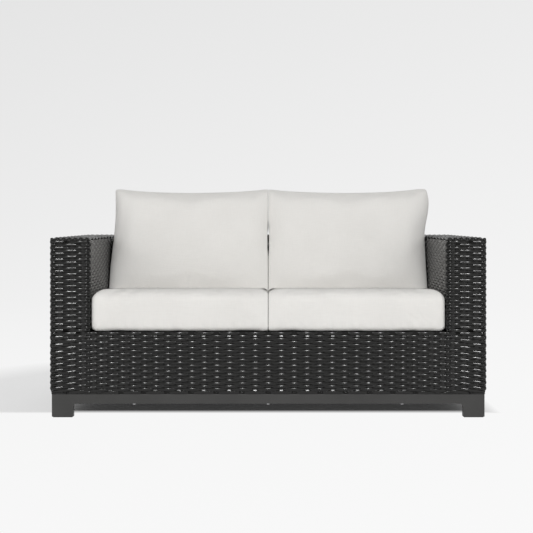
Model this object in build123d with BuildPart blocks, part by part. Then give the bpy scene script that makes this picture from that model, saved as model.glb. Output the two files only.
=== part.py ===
from build123d import *
import math
import os

# Woven patio loveseat on a low metal base, with loose seat and back cushions.
# Millimetres. +X runs to the right of someone facing the seat, the front faces -Y, +Z is up,
# and the origin is on the floor under the middle of the body.

# Woven body
overall_width = 1626
overall_depth = 864
frame_height = 670
arm_width = 152
back_thickness = 140
seat_deck_height = 320
weave_thickness = 8
weave_corner_radius = 7
apron_roll_radius = 5

# Metal base
base_height = 88
base_inset = 7
rail_height = 37
rail_depth = 25
rail_wall = 2
rail_edge_radius = 1.5
leg_length = 80
leg_ear_length = 22
leg_ear_radius = 12
leg_corner_radius = 3
glide_thickness = 3
glide_margin = 4

# Square tube of the hidden welded frame
tube_size = 25
tube_wall = 1.6
tube_edge_radius = 2
seat_cross_tube_shares = (-0.5, 0, 0.5)
back_post_shares = (-0.34, 0.34)

# Screws that hold the body down on the base
screw_radius = 3
screw_head_radius = 5.5
screw_head_height = 3.5
screw_reach = 12
screw_rail_clearance = 0.3
screw_thread_clearance = 0.05
hole_overrun = 1
long_rail_screw_shares = (-0.62, 0, 0.62)
side_rail_screw_shares = (-0.5, 0.5)

# Loose cushions
cushion_gap = 1.5
soft_clearance = 0.3
trial_clearance = 6
seat_cushion_height = 160
seat_top_fall = 36
seat_cushion_setback = 4
seat_edge_softness = 96
seat_edge_draw = 4
seat_rear_draw = 1.5
seat_corner_radius = 26
back_cushion_height = 422
back_cushion_thickness = 235
back_cushion_lean = 13
back_edge_softness = 96
back_top_draw = 13
back_side_draw = 5
back_bottom_draw = 0.5
back_corner_radius = 16
cover_wall = 2
fill_clearance = 0.5

# Zips in the cushion covers
zip_length = 520
zip_width = 26
zip_thickness = 2.4
zip_clearance = 0.3
zip_slot_width = 14
zip_slot_end = 8
slider_length = 13
slider_width = 9
slider_height = 3.2
slider_gap = 0.2
slider_end_gap = 1
pull_length = 24
pull_width = 6
pull_thickness = 1.6

# How an outline shrinks through a cushion: share of the thickness, share of the edge softness
seat_form_shares = ((0, 0.2), (0.08, 0.04), (0.4, 0), (0.7, 0), (0.87, 0.1), (0.96, 0.4), (1, 1))
back_form_shares = ((0, 1), (0.1, 0.46), (0.28, 0.12), (0.5, 0), (0.72, 0.12), (0.9, 0.46), (1, 1))
corner_growth_share = 0.5

# Places worked out from the sizes above
half_width = overall_width / 2
half_depth = overall_depth / 2
inner_half_width = half_width - arm_width
back_face_y = half_depth - back_thickness
back_leaf_y = back_face_y + weave_thickness
deck_underside = seat_deck_height - weave_thickness
skin_half_width = half_width - weave_thickness
skin_half_depth = half_depth - weave_thickness
skin_top = frame_height - weave_thickness
arm_leaf_x = inner_half_width + weave_thickness
base_half_width = half_width - base_inset
base_half_depth = half_depth - base_inset
leg_reach = leg_length + leg_ear_length
rail_bottom = base_height - rail_height
half_tube = tube_size / 2
zip_slot_length = zip_length - 2 * zip_slot_end
seat_cushion_bottom = seat_deck_height + soft_clearance
seat_cushion_front_y = seat_cushion_setback - half_depth
seat_cushion_rear_y = back_face_y - cushion_gap
cushion_width = inner_half_width - 1.5 * cushion_gap
cushion_centre_x = (cushion_gap + cushion_width) / 2

finished = []


def finish(builder, label):
    """Name a finished sub-part and keep it for export."""
    builder.part.label = label
    finished.append(builder.part)


def block(low, high, mode=Mode.ADD):
    """Box between two opposite corners, in the part that is being built."""
    centre = [(a + b) / 2 for a, b in zip(low, high)]
    with Locations(tuple(centre)):
        Box(*[abs(b - a) for a, b in zip(low, high)], mode=mode)


# Metal base


def screw_places():
    """Middle of each screw, seen from above: three on each long rail, two on each side rail."""
    rail_y = base_half_depth - rail_depth / 2
    rail_x = base_half_width - rail_depth / 2
    places = []
    for side in (-1, 1):
        places += [(share * base_half_width, side * rail_y) for share in long_rail_screw_shares]
        places += [(side * rail_x, share * base_half_depth) for share in side_rail_screw_shares]
    return places


def tube(label, start, end, width, height, wall, edge_radius, hole_radius=0, hole_depth=0):
    """Hollow tube between two points of its centre line, which runs along one axis.

    Width lies along Y for a tube along X, and along X for any other. Where screws pass, the tube gets
    holes of the given radius, up to the given depth from its underside.
    """
    run = Vector(*end) - Vector(*start)
    across = (0, 1, 0) if abs(run.X) > abs(run.Y) + abs(run.Z) else (1, 0, 0)
    underside = start[2] - height / 2
    with BuildPart() as piece:
        with BuildSketch(Plane(origin=start, x_dir=across, z_dir=run.normalized())):
            RectangleRounded(width, height, edge_radius)
            Rectangle(width - 2 * wall, height - 2 * wall, mode=Mode.SUBTRACT)
        extrude(amount=run.length)
        for x, y in screw_places() if hole_radius else []:
            inside_x = min(start[0], end[0]) - width / 2 < x < max(start[0], end[0]) + width / 2
            inside_y = min(start[1], end[1]) - width / 2 < y < max(start[1], end[1]) + width / 2
            if inside_x and inside_y:
                with Locations((x, y, underside - hole_overrun)):
                    Cylinder(
                        hole_radius,
                        hole_depth + 2 * hole_overrun,
                        align=(Align.CENTER, Align.CENTER, Align.MIN),
                        mode=Mode.SUBTRACT,
                    )
    finish(piece, label)


def make_base_rails():
    """Four rails of the base, each between the ears of two legs."""
    long_half = base_half_width - leg_reach
    short_half = base_half_depth - leg_reach
    rail_y = base_half_depth - rail_depth / 2
    rail_x = base_half_width - rail_depth / 2
    rail_z = base_height - rail_height / 2
    runs = {
        "base_front_rail": ((-long_half, -rail_y, rail_z), (long_half, -rail_y, rail_z)),
        "base_rear_rail": ((-long_half, rail_y, rail_z), (long_half, rail_y, rail_z)),
        "base_left_rail": ((-rail_x, -short_half, rail_z), (-rail_x, short_half, rail_z)),
        "base_right_rail": ((rail_x, -short_half, rail_z), (rail_x, short_half, rail_z)),
    }
    hole_radius = screw_radius + screw_rail_clearance
    for label, (start, end) in runs.items():
        tube(
            label, start, end, rail_depth, rail_height, rail_wall, rail_edge_radius,
            hole_radius, rail_height,
        )


def leg_face(plane, corner, inward):
    """Face of a leg seen square on: an upright flange with an ear that runs on into the rail."""
    foot = corner + inward * leg_length
    ear = corner + inward * leg_reach
    with BuildSketch(plane) as face:
        with BuildLine():
            Polyline(
                (corner, glide_thickness),
                (foot, glide_thickness),
                (foot, rail_bottom),
                (ear, rail_bottom),
                (ear, base_height),
                (corner, base_height),
                close=True,
            )
        make_face()
        inner_corner = face.vertices().sort_by_distance((foot, rail_bottom, 0))[0]
        fillet(inner_corner, leg_ear_radius)
    return face.sketch


def make_leg(label, side, end):
    """Corner leg: two flanges at right angles. side is -1 left or 1 right, end is -1 front or 1 rear."""
    corner_x = side * base_half_width
    corner_y = end * base_half_depth
    front_plane = Plane(origin=(0, corner_y, 0), x_dir=(1, 0, 0), z_dir=(0, -1, 0))
    side_plane = Plane(origin=(corner_x, 0, 0), x_dir=(0, 1, 0), z_dir=(1, 0, 0))
    with BuildPart() as leg:
        extrude(leg_face(front_plane, corner_x, -side), amount=end * rail_depth)
        extrude(leg_face(side_plane, corner_y, -end), amount=-side * rail_depth)
        upright = leg.edges().filter_by(Axis.Z).sort_by_distance((corner_x, corner_y, base_height))[0]
        fillet(upright, leg_corner_radius)
    finish(leg, label)


def make_glides():
    """One thin angled glide under each leg."""
    with BuildPart() as glides:
        for side in (-1, 1):
            for end in (-1, 1):
                outer_x = side * (base_half_width - glide_margin)
                outer_y = end * (base_half_depth - glide_margin)
                inner_x = side * (base_half_width - rail_depth + glide_margin)
                inner_y = end * (base_half_depth - rail_depth + glide_margin)
                foot_x = side * (base_half_width - leg_length + glide_margin)
                foot_y = end * (base_half_depth - leg_length + glide_margin)
                block((outer_x, outer_y, 0), (foot_x, inner_y, glide_thickness))
                block((outer_x, outer_y, 0), (inner_x, foot_y, glide_thickness))
    finish(glides, "foot_glides")


def make_screws():
    """Screws up through the base rails into the lowest tubes of the frame."""
    shank_length = rail_height + screw_reach
    with BuildPart() as screws:
        with BuildSketch(Plane.XY.offset(rail_bottom)):
            with Locations(*screw_places()):
                Circle(screw_radius)
        extrude(amount=shank_length)
        with BuildSketch(Plane.XY.offset(rail_bottom - screw_head_height)):
            with Locations(*screw_places()):
                Circle(screw_head_radius)
        extrude(amount=screw_head_height)
    finish(screws, "base_screws")


# Hidden welded frame


def frame_tube(label, start, end, hole_radius=0, hole_depth=0):
    """Square tube of the hidden frame."""
    tube(
        label, start, end, tube_size, tube_size, tube_wall, tube_edge_radius,
        hole_radius, hole_depth,
    )


def make_frame():
    """Hidden frame of the woven body: a ring at the base, a seat grid, two arms and a back."""
    outer_x = skin_half_width - half_tube
    outer_y = skin_half_depth - half_tube
    inner_x = arm_leaf_x + half_tube
    low_z = base_height + half_tube
    seat_z = deck_underside - half_tube
    top_z = skin_top - half_tube
    post_foot = base_height + tube_size
    post_head = skin_top - tube_size
    long_end = outer_x - half_tube
    thread = screw_radius + screw_thread_clearance

    for end, place in ((-1, "front"), (1, "rear")):
        y = end * outer_y
        frame_tube(f"bottom_{place}_tube", (-long_end, y, low_z), (long_end, y, low_z), thread, tube_wall)
    for side, place in ((-1, "left"), (1, "right")):
        x = side * outer_x
        frame_tube(
            f"bottom_{place}_tube", (x, -skin_half_depth, low_z), (x, skin_half_depth, low_z),
            thread, tube_wall,
        )
        for end, row in ((-1, "front"), (1, "rear")):
            y = end * outer_y
            frame_tube(f"{place}_arm_{row}_outer_post", (x, y, post_foot), (x, y, post_head))
            near_x = side * inner_x
            frame_tube(f"{place}_arm_{row}_inner_post", (near_x, y, post_foot), (near_x, y, post_head))
        for where, rail_x in (("outer", x), ("inner", side * inner_x)):
            frame_tube(
                f"{place}_arm_{where}_top_tube",
                (rail_x, -skin_half_depth, top_z), (rail_x, skin_half_depth, top_z),
            )

    seat_side_x = arm_leaf_x - half_tube
    seat_front_y = -outer_y
    seat_rear_y = back_leaf_y - half_tube
    frame_tube("seat_front_tube", (-arm_leaf_x, seat_front_y, seat_z), (arm_leaf_x, seat_front_y, seat_z))
    for side, place in ((-1, "left"), (1, "right")):
        x = side * seat_side_x
        frame_tube(
            f"seat_{place}_tube", (x, seat_front_y + half_tube, seat_z), (x, skin_half_depth, seat_z)
        )
    rear_half = seat_side_x - half_tube
    frame_tube("seat_rear_tube", (-rear_half, seat_rear_y, seat_z), (rear_half, seat_rear_y, seat_z))
    for place, share in zip(("left", "centre", "right"), seat_cross_tube_shares):
        x = share * inner_half_width
        frame_tube(
            f"seat_cross_tube_{place}",
            (x, seat_front_y + half_tube, seat_z), (x, seat_rear_y - half_tube, seat_z),
        )

    leaf_y = back_leaf_y + half_tube
    for where, y in (("front", leaf_y), ("rear", outer_y)):
        frame_tube(f"back_top_{where}_tube", (-arm_leaf_x, y, top_z), (arm_leaf_x, y, top_z))
    for place, share in zip(("left", "right"), back_post_shares):
        x = share * inner_half_width
        frame_tube(f"back_{place}_post", (x, leaf_y, seat_z - half_tube), (x, leaf_y, post_head))
    frame_tube("back_rear_post", (0, outer_y, post_foot), (0, outer_y, post_head))


# Woven skins


def make_arm_weave(label, side):
    """Woven skin of one arm: a deep box, open underneath, whose inner leaf starts at the seat deck."""
    outer_x = side * half_width
    inner_x = side * inner_half_width
    leaf_x = side * arm_leaf_x
    with BuildPart() as arm:
        block((outer_x, -half_depth, base_height), (inner_x, half_depth, frame_height))
        uprights = arm.edges().filter_by(Axis.Z)
        fillet(
            [
                uprights.sort_by_distance((outer_x, -half_depth, frame_height / 2))[0],
                uprights.sort_by_distance((outer_x, half_depth, frame_height / 2))[0],
                uprights.sort_by_distance((inner_x, -half_depth, frame_height / 2))[0],
            ],
            weave_corner_radius,
        )
        block(
            (side * skin_half_width, -skin_half_depth, base_height),
            (leaf_x, skin_half_depth, skin_top),
            mode=Mode.SUBTRACT,
        )
        block(
            (leaf_x, -skin_half_depth, base_height),
            (inner_x, skin_half_depth, deck_underside),
            mode=Mode.SUBTRACT,
        )
        block(
            (leaf_x, back_leaf_y, base_height),
            (inner_x, skin_half_depth, skin_top),
            mode=Mode.SUBTRACT,
        )
    finish(arm, label)


def make_back_weave():
    """Woven skin of the back, between the arms: a front leaf down to the seat and a rear leaf to the base."""
    with BuildPart() as back:
        block((-inner_half_width, back_face_y, base_height), (inner_half_width, half_depth, frame_height))
        long_edges = back.edges().filter_by(Axis.X)
        fillet(
            [
                long_edges.sort_by_distance((0, back_face_y, frame_height))[0],
                long_edges.sort_by_distance((0, half_depth, frame_height))[0],
            ],
            weave_corner_radius,
        )
        block(
            (-inner_half_width, back_leaf_y, base_height),
            (inner_half_width, skin_half_depth, skin_top),
            mode=Mode.SUBTRACT,
        )
        block(
            (-inner_half_width, back_face_y, base_height),
            (inner_half_width, back_leaf_y, deck_underside),
            mode=Mode.SUBTRACT,
        )
    finish(back, "back_weave")


def make_apron_and_deck():
    """Woven front apron with a rolled top edge, and the flat woven deck that carries the seat cushions."""
    with BuildPart() as apron:
        block(
            (-inner_half_width, -half_depth, base_height),
            (inner_half_width, -skin_half_depth, seat_deck_height),
        )
        top_edge = apron.edges().filter_by(Axis.X).sort_by_distance((0, -half_depth, seat_deck_height))[0]
        fillet(top_edge, apron_roll_radius)
    finish(apron, "front_apron_weave")
    with BuildPart() as deck:
        block(
            (-inner_half_width, -skin_half_depth, deck_underside),
            (inner_half_width, back_face_y, seat_deck_height),
        )
    finish(deck, "seat_deck_weave")


# Cushions


def cushion_outline(plane, width, length, corner, far_draw, near_draw, side_draw):
    """Closed outline with rounded corners, whose four sides are drawn in between them."""
    w, h = width / 2, length / 2
    bend = corner * (1 - math.sqrt(0.5))
    with BuildSketch(plane) as outline:
        with BuildLine():
            ThreePointArc((corner - w, h), (0, h - far_draw), (w - corner, h))
            ThreePointArc((w - corner, h), (w - bend, h - bend), (w, h - corner))
            ThreePointArc((w, h - corner), (w - side_draw, 0), (w, corner - h))
            ThreePointArc((w, corner - h), (w - bend, bend - h), (w - corner, -h))
            ThreePointArc((w - corner, -h), (0, near_draw - h), (corner - w, -h))
            ThreePointArc((corner - w, -h), (bend - w, bend - h), (-w, corner - h))
            ThreePointArc((-w, corner - h), (side_draw - w, 0), (-w, h - corner))
            ThreePointArc((-w, h - corner), (bend - w, h - bend), (corner - w, h))
        make_face()
    return outline.sketch


class Cushion:
    """Crowned, drawn-in form of one cushion, standing on the plane of its first face.

    Its sections tilt evenly from that face on, until the last one falls by the fall over its length.
    """

    def __init__(self, plane, width, length, thickness, fall, softness, corner, draws, form_shares):
        self.plane = plane
        self.width = width
        self.length = length
        self.thickness = thickness
        self.fall = fall
        self.softness = softness
        self.corner = corner
        self.draws = draws
        self.form_shares = form_shares

    def shrink_at(self, reach):
        """How much the outline has shrunk at a distance above or below its middle section."""
        height_share = 0.5 + reach / self.thickness
        for (low, low_shrink), (high, high_shrink) in zip(self.form_shares, self.form_shares[1:]):
            if low <= height_share <= high:
                part_way = (height_share - low) / (high - low)
                return self.softness * (low_shrink + part_way * (high_shrink - low_shrink))
        return self.softness

    def form(self, inset, mode=Mode.ADD):
        """Loft of the whole form, smaller by the inset on every side."""
        sections = []
        full_tilt = math.degrees(math.atan(self.fall / self.length))
        for height_share, shrink_share in self.form_shares:
            level = inset + height_share * (self.thickness - self.fall / 2 - 2 * inset)
            tilt = height_share * full_tilt
            shrink = inset + shrink_share * self.softness
            sections.append(
                cushion_outline(
                    self.plane.offset(level).rotated((-tilt, 0, 0)),
                    self.width - 2 * shrink,
                    self.length - 2 * shrink,
                    self.corner + corner_growth_share * shrink,
                    *self.draws,
                )
            )
        return loft(sections, ruled=True, mode=mode)


def cut_pocket(zip_plane, length, width, depth):
    """Cut the opening for a zip into the cushion that is being built."""
    with BuildSketch(zip_plane.offset(-depth)) as opening:
        Rectangle(length, width)
    extrude(opening.sketch, amount=2 * depth, mode=Mode.SUBTRACT)


def make_cushion(name, cushion, zip_plane, seam_draw):
    """Cover, filling, zip and slider of one cushion.

    The zip lies inside the cover, behind a slot. The zip plane touches the outermost line of that
    side, and the seam draw is how far the side is drawn in at its middle.
    """
    edge_reach = zip_width / 2
    face_depth = seam_draw + cushion.shrink_at(edge_reach) + cover_wall + 2 * zip_clearance
    pocket_depth = face_depth + zip_thickness + zip_clearance
    slider_level = slider_gap - face_depth
    pull_level = slider_level + slider_height - pull_thickness
    slider_x = (slider_length - zip_slot_length) / 2 + slider_end_gap
    pull_x = slider_x + (slider_length + pull_length) / 2
    shells = (
        (f"{name}_cover", 0, zip_slot_length, zip_slot_width),
        (f"{name}_filling", cover_wall + fill_clearance, zip_length, zip_width),
    )
    for label, inset, opening_length, opening_width in shells:
        with BuildPart() as body:
            cushion.form(inset)
            if inset == 0:
                cushion.form(cover_wall, mode=Mode.SUBTRACT)
            cut_pocket(zip_plane, opening_length, opening_width, pocket_depth)
        finish(body, label)
    with BuildPart() as chain:
        with BuildSketch(zip_plane.offset(-face_depth - zip_thickness)):
            Rectangle(zip_length - 2 * zip_clearance, zip_width - 2 * zip_clearance)
        extrude(amount=zip_thickness)
    finish(chain, f"{name}_zip")
    with BuildPart() as slider:
        with BuildSketch(zip_plane.offset(slider_level)):
            with Locations((slider_x, 0)):
                Rectangle(slider_length, slider_width)
        extrude(amount=slider_height)
        with BuildSketch(zip_plane.offset(pull_level)):
            with Locations((pull_x, 0)):
                Rectangle(pull_length, pull_width)
        extrude(amount=pull_thickness)
    finish(slider, f"{name}_zip_slider")


def seat_cushion(side):
    """Form, zip plane and seam draw of one seat cushion, which lies on the deck, zip at the rear."""
    middle_y = (seat_cushion_front_y + seat_cushion_rear_y) / 2
    length = seat_cushion_rear_y - seat_cushion_front_y
    centre_x = side * cushion_centre_x
    cushion = Cushion(
        Plane(origin=(centre_x, middle_y, seat_cushion_bottom)),
        cushion_width,
        length,
        seat_cushion_height,
        seat_top_fall,
        seat_edge_softness,
        seat_corner_radius,
        (seat_rear_draw, seat_edge_draw, seat_edge_draw),
        seat_form_shares,
    )
    zip_height = seat_cushion_bottom + (seat_cushion_height - seat_top_fall) / 2
    zip_plane = Plane(
        origin=(centre_x, seat_cushion_rear_y, zip_height), x_dir=(1, 0, 0), z_dir=(0, 1, 0)
    )
    return cushion, zip_plane, seat_rear_draw


def back_cushion(side, centre_y, centre_z):
    """Form, zip plane and seam draw of one back cushion, with its zip in the seam it stands on.

    The centre is the middle of its rear face, which leans back.
    """
    lean = math.radians(back_cushion_lean)
    centre = Vector(side * cushion_centre_x, centre_y, centre_z)
    up = Vector(0, math.sin(lean), math.cos(lean))
    forward = Vector(0, -math.cos(lean), math.sin(lean))
    cushion = Cushion(
        Plane(origin=centre, x_dir=(1, 0, 0), z_dir=forward),
        cushion_width,
        back_cushion_height,
        back_cushion_thickness,
        0,
        back_edge_softness,
        back_corner_radius,
        (back_top_draw, back_bottom_draw, back_side_draw),
        back_form_shares,
    )
    seam = centre - up * (back_cushion_height / 2) + forward * (back_cushion_thickness / 2)
    zip_plane = Plane(origin=seam, x_dir=(1, 0, 0), z_dir=up * -1)
    return cushion, zip_plane, back_bottom_draw


def back_cushion_place(side):
    """Depth and height of the middle of the rear face of a seated back cushion.

    The rear face leans on the rounded top edge of the back. A trial cushion that hangs high is
    measured against the seat cushion and let down near it, and then again down on it.
    """
    lean = math.radians(back_cushion_lean)
    edge_y = back_face_y + weave_corner_radius
    edge_z = frame_height - weave_corner_radius
    face_reach = (
        edge_y * math.cos(lean) - edge_z * math.sin(lean) - weave_corner_radius - soft_clearance
    )

    def leaning_y(centre_z):
        return (face_reach + centre_z * math.sin(lean)) / math.cos(lean)

    centre_z = seat_cushion_bottom + seat_cushion_height + (back_cushion_height + back_edge_softness) / 2
    with BuildPart(mode=Mode.PRIVATE) as seat:
        seat_cushion(side)[0].form(0)
    for clearance in (trial_clearance, soft_clearance):
        cushion, zip_plane, seam_draw = back_cushion(side, leaning_y(centre_z), centre_z)
        with BuildPart(mode=Mode.PRIVATE) as trial:
            cushion.form(0)
            cut_pocket(zip_plane, zip_slot_length, zip_slot_width, seat_edge_softness)
        centre_z -= trial.part.distance_to(seat.part) - clearance
    return leaning_y(centre_z), centre_z


make_base_rails()
for row, end in (("front", -1), ("rear", 1)):
    for place, side in (("left", -1), ("right", 1)):
        make_leg(f"{row}_{place}_leg", side, end)
make_glides()
make_screws()
make_frame()
make_arm_weave("left_arm_weave", -1)
make_arm_weave("right_arm_weave", 1)
make_back_weave()
make_apron_and_deck()
rear_centre = back_cushion_place(1)
for place, side in (("left", -1), ("right", 1)):
    make_cushion(f"{place}_seat_cushion", *seat_cushion(side))
    make_cushion(f"{place}_back_cushion", *back_cushion(side, *rear_centre))

os.makedirs("parts", exist_ok=True)
for piece in finished:
    export_step(piece, f"parts/{piece.label}.step")
print(len(finished), "pieces")
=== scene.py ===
"""Looks of a two-seat patio loveseat: woven resin body, low metal base, four loose cushions.

Metres. +X runs to the right of someone facing the seat, the front faces -Y and +Z is up.
"""

import logging
import math
from collections.abc import Callable, Iterator, Sequence
from contextlib import contextmanager
from dataclasses import dataclass, field
from enum import Enum

import bmesh
import bpy
import numpy as np
from mathutils import Matrix, Vector


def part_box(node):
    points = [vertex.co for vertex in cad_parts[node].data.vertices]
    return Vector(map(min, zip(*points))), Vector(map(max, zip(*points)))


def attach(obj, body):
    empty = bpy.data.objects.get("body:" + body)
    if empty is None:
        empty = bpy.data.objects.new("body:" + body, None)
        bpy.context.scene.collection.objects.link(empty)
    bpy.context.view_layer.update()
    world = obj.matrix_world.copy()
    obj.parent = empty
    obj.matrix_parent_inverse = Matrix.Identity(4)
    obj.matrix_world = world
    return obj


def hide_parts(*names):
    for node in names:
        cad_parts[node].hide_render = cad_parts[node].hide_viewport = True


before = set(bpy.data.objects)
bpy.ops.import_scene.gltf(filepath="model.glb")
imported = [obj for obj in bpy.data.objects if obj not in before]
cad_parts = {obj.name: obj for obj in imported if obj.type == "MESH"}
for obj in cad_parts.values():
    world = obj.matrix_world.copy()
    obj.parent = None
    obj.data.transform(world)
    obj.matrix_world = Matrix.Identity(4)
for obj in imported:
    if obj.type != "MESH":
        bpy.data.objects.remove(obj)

LOG = logging.getLogger("loveseat")
TOUCH = 1e-5
PARALLEL = 0.99
QUARTER = math.pi / 2.0
ORIGIN = (0.0, 0.0, 0.0)
LENGTHWISE = Matrix(((0, 0, 1, 0), (1, 0, 0, 0), (0, 1, 0, 0), (0, 0, 0, 1)))
CROSSWISE = Matrix(((1, 0, 0, 0), (0, 0, -1, 0), (0, 1, 0, 0), (0, 0, 0, 1)))

Array = np.ndarray
Rule = Callable[[Array], Array]
Point = tuple[float, float, float]
Piece = bpy.types.Object
Socket = bpy.types.NodeSocket
Material = bpy.types.Material


class Side(Enum):
    """The two halves of the loveseat, as a sign along X."""

    LEFT = -1
    RIGHT = 1

    @property
    def label(self) -> str:
        """Name of the side as the nodes spell it."""
        return self.name.lower()


class Grain(Enum):
    """Axis that the strands of a woven piece mostly run along."""

    LEVEL = 0
    FRONT_TO_REAR = 1


class Selection(Enum):
    """What an edit-mode step picks."""

    POINTS = "VERT"
    EDGES = "EDGE"


# Modelling helpers


def activate(obj: Piece) -> None:
    """Make an object the only selected one.

    Args:
        obj: The object that the next operators act on.
    """
    bpy.ops.object.select_all(action="DESELECT")
    obj.select_set(True)
    bpy.context.view_layer.objects.active = obj


@contextmanager
def editing(obj: Piece, whole: bool = False) -> Iterator[None]:
    """Hold an object in edit mode.

    Args:
        obj: The mesh object to edit.
        whole: Whether its whole mesh is selected first.
    """
    activate(obj)
    bpy.ops.object.mode_set(mode="EDIT")
    if whole:
        bpy.ops.mesh.select_all(action="SELECT")
    yield
    bpy.ops.object.mode_set(mode="OBJECT")


def pick(obj: Piece, kind: Selection, test: Callable[[object], bool]) -> None:
    """Select the elements that pass a test, in edit mode.

    Args:
        obj: The object being edited.
        kind: Whether points or edges are picked.
        test: Says of an element whether it is picked.
    """
    bpy.ops.mesh.select_mode(type=kind.value)
    bpy.ops.mesh.select_all(action="DESELECT")
    shape = bmesh.from_edit_mesh(obj.data)
    for element in shape.verts if kind is Selection.POINTS else shape.edges:
        element.select_set(bool(test(element)))
    shape.select_flush_mode()
    bmesh.update_edit_mesh(obj.data)


def pick_points(obj: Piece, test: Callable[[Vector], bool]) -> None:
    """Select the points whose place passes a test, in edit mode."""
    pick(obj, Selection.POINTS, lambda vert: test(vert.co))


def pick_edges(obj: Piece, test: Callable[[Vector], bool]) -> None:
    """Select the edges whose middle passes a test, in edit mode."""
    pick(obj, Selection.EDGES, lambda edge: test((edge.verts[0].co + edge.verts[1].co) / 2))


def pick_edges_along(obj: Piece, axis: int) -> None:
    """Select every edge that runs along one axis, in edit mode.

    Args:
        obj: The object being edited.
        axis: 0, 1 or 2 for X, Y or Z.
    """

    def along(edge: bmesh.types.BMEdge) -> bool:
        run = edge.verts[1].co - edge.verts[0].co
        return abs(run[axis]) > PARALLEL * run.length

    pick(obj, Selection.EDGES, along)


def added(operator: Callable[..., object], **settings: object) -> Piece:
    """Add one primitive and keep its place and scale in its mesh.

    Args:
        operator: The operator that adds it.
        settings: The operator's own settings.

    Returns:
        The new object.
    """
    bpy.ops.object.select_all(action="DESELECT")
    operator(**settings)
    bpy.ops.object.transform_apply(location=True, rotation=True, scale=True)
    return bpy.context.active_object


def apply_modifier(obj: Piece, kind: str, **settings: object) -> None:
    """Add one modifier and apply it.

    Args:
        obj: The object to change.
        kind: Blender's name of the modifier type.
        settings: The modifier's own settings.
    """
    activate(obj)
    bpy.ops.object.modifier_add(type=kind)
    modifier = obj.modifiers[-1]
    for name, value in settings.items():
        setattr(modifier, name, value)
    bpy.ops.object.modifier_apply(modifier=modifier.name)


def repeat(obj: Piece, count: int, step: Point, **merging: object) -> None:
    """Repeat a mesh in equal steps with an Array modifier.

    Args:
        obj: The object to repeat.
        count: How many there are in the end.
        step: From one to the next.
        merging: Settings that merge what meets.
    """
    apply_modifier(
        obj, "ARRAY", count=count, use_relative_offset=False, use_constant_offset=True,
        constant_offset_displace=step, **merging,
    )


def move_points(obj: Piece, rule: Rule) -> None:
    """Move every point of a mesh by a rule.

    Args:
        obj: The mesh object.
        rule: Takes all points as rows of three numbers and gives their new places.
    """
    mesh = obj.data
    places = np.empty(len(mesh.vertices) * 3, np.float32)
    mesh.vertices.foreach_get("co", places)
    moved = rule(places.reshape(-1, 3).astype(float))
    mesh.vertices.foreach_set("co", moved.astype(np.float32).ravel())
    mesh.update()


def ease(value: Array) -> Array:
    """Smooth step of a share that is held between 0 and 1."""
    held = np.clip(value, 0.0, 1.0)
    return held * held * (3.0 - 2.0 * held)


def follow(size: Array, along: Array, line: Rule) -> Array:
    """Stretch sizes so that the largest at each place follows a line.

    Args:
        size: Distance of each point from the middle, all positive.
        along: Place of each point along the line.
        line: Gives the largest size that is wanted at each place.

    Returns:
        The new sizes.
    """
    steps = 30
    marks = np.linspace(along.min(), along.max(), steps + 1)
    index = np.clip(np.digitize(along, marks) - 1, 0, steps - 1)
    peak = np.zeros(steps)
    np.maximum.at(peak, index, size)
    middles = ((marks[:-1] + marks[1:]) / 2.0)[peak > TOUCH]
    share = line(middles) / peak[peak > TOUCH]
    for _ in range(2):
        padded = np.concatenate((share[:1], share, share[-1:]))
        share = (padded[:-2] + 2.0 * padded[1:-1] + padded[2:]) / 4.0
    return size * np.interp(along, middles, share)


def rounded_off(past: Array, radius: float) -> Array:
    """How far a corner of that radius falls back, past the start of its round."""
    held = np.clip(past, 0.0, radius)
    return radius - np.sqrt(radius * radius - held * held)


def settle(obj: Piece, matrix: Matrix) -> Piece:
    """Turn and move an object and keep the result in its mesh.

    Args:
        obj: The object, at the origin.
        matrix: Where it goes.

    Returns:
        The same object.
    """
    activate(obj)
    obj.matrix_world = matrix
    bpy.ops.object.transform_apply(location=True, rotation=True, scale=True)
    return obj


def join(name: str, pieces: Sequence[Piece]) -> Piece:
    """Join several objects into one.

    Args:
        name: Name of the result.
        pieces: The objects to join.

    Returns:
        The joined object.
    """
    activate(pieces[0])
    for piece in pieces[1:]:
        piece.select_set(True)
    if len(pieces) > 1:
        bpy.ops.object.join()
    made = bpy.context.view_layer.objects.active
    made.name = name
    made.data.name = name
    return made


# Finishes


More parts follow.
